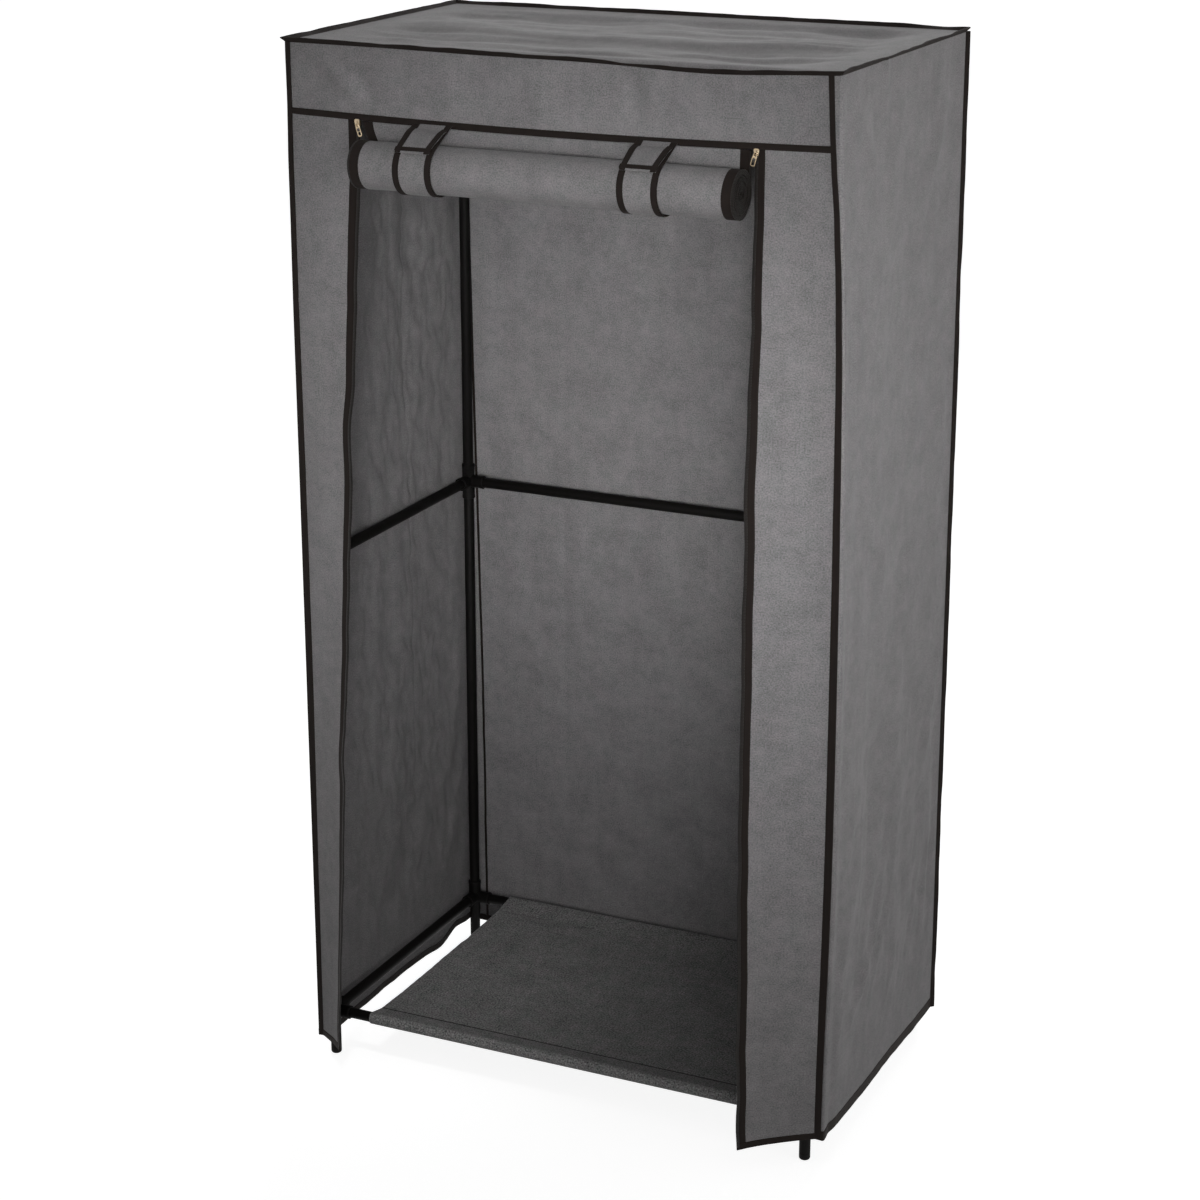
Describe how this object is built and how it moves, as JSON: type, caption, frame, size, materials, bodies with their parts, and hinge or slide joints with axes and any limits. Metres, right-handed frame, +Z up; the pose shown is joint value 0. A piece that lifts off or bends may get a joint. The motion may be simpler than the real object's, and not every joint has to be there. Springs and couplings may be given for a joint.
{
  "type": "portable fabric wardrobe",
  "caption": "Fabric wardrobe: a cover over a rack of tubes plugged into connectors, with a hanging rail, a shelf cloth and a zipped front door rolled up under straps.",
  "frame": {"origin": "on the floor, at the middle of the whole outline", "axes": "+X to the right as seen from the front, +Y to the back, +Z up"},
  "size_m": [0.815, 0.5699, 1.55],
  "materials": {
    "tube": "satin black",
    "connector": "matte",
    "cover_fabric": "non-woven cloth",
    "shelf_fabric": "non-woven cloth",
    "binding": "woven tape",
    "zip_metal": "polished"
  },
  "bodies": {
    "wardrobe": {"bottom_connector_front_left": "connector", "middle_connector_front_left": "connector", "top_connector_front_left": "connector", "lower_post_front_left": "tube", "upper_post_front_left": "tube", "bottom_connector_front_right": "connector", "middle_connector_front_right": "connector", "top_connector_front_right": "connector", "lower_post_front_right": "tube", "upper_post_front_right": "tube", "bottom_connector_back_left": "connector", "middle_connector_back_left": "connector", "top_connector_back_left": "connector", "lower_post_back_left": "tube", "upper_post_back_left": "tube", "bottom_connector_back_right": "connector", "middle_connector_back_right": "connector", "top_connector_back_right": "connector", "lower_post_back_right": "tube", "upper_post_back_right": "tube", "bottom_tube_front": "tube", "bottom_tube_back": "tube", "bottom_tube_left": "tube", "bottom_tube_right": "tube", "middle_tube_left": "tube", "middle_tube_right": "tube", "middle_tube_back": "tube", "top_tube_front": "tube", "top_tube_back": "tube", "rail_connector_left": "connector", "top_tube_left_front": "tube", "top_tube_left_back": "tube", "rail_connector_right": "connector", "top_tube_right_front": "tube", "top_tube_right_back": "tube", "hanging_rail": "tube", "shelf_cloth": "shelf_fabric", "cover_left_panel": "cover_fabric", "cover_right_panel": "cover_fabric", "cover_back_panel": "cover_fabric", "cover_top_panel": "cover_fabric", "cover_front_band": "cover_fabric", "edge_binding": "binding", "front_flap_left": "cover_fabric", "zip_tape_left": "binding", "flap_hem_binding_left": "binding", "front_flap_right": "cover_fabric", "zip_tape_right": "binding", "flap_hem_binding_right": "binding", "door_panel_rolled": "cover_fabric", "roll_strap_left": "cover_fabric", "roll_strap_right": "cover_fabric"},
    "slider_left": {"zip_slider_left": "zip_metal"},
    "pull_left": {"zip_pull_left": "zip_metal"},
    "tab_left": {"strap_tab_left": "cover_fabric"},
    "slider_right": {"zip_slider_right": "zip_metal"},
    "pull_right": {"zip_pull_right": "zip_metal"},
    "tab_right": {"strap_tab_right": "cover_fabric"}
  },
  "joints": [
    {"name": "zip_slide_left", "type": "slide", "parent": "wardrobe", "child": "slider_left", "axis": [0, 0, -1], "range_m": [0, 0.015]},
    {"name": "pull_swing_left", "type": "hinge", "parent": "slider_left", "child": "pull_left", "pos_m": [-0.2942, -0.22277, 1.4437], "axis": [-1, 0, 0], "range_deg": [0, 170]},
    {"name": "tab_lift_left", "type": "hinge", "parent": "wardrobe", "child": "tab_left", "pos_m": [-0.1784, -0.22155, 1.4496], "axis": [-1, 0, 0], "range_deg": [0, 115]},
    {"name": "zip_slide_right", "type": "slide", "parent": "wardrobe", "child": "slider_right", "axis": [0, 0, -1], "range_m": [0, 0.015]},
    {"name": "pull_swing_right", "type": "hinge", "parent": "slider_right", "child": "pull_right", "pos_m": [0.2942, -0.22277, 1.4437], "axis": [-1, 0, 0], "range_deg": [0, 170]},
    {"name": "tab_lift_right", "type": "hinge", "parent": "wardrobe", "child": "tab_right", "pos_m": [0.1527, -0.22155, 1.4496], "axis": [-1, 0, 0], "range_deg": [0, 115]}
  ]
}
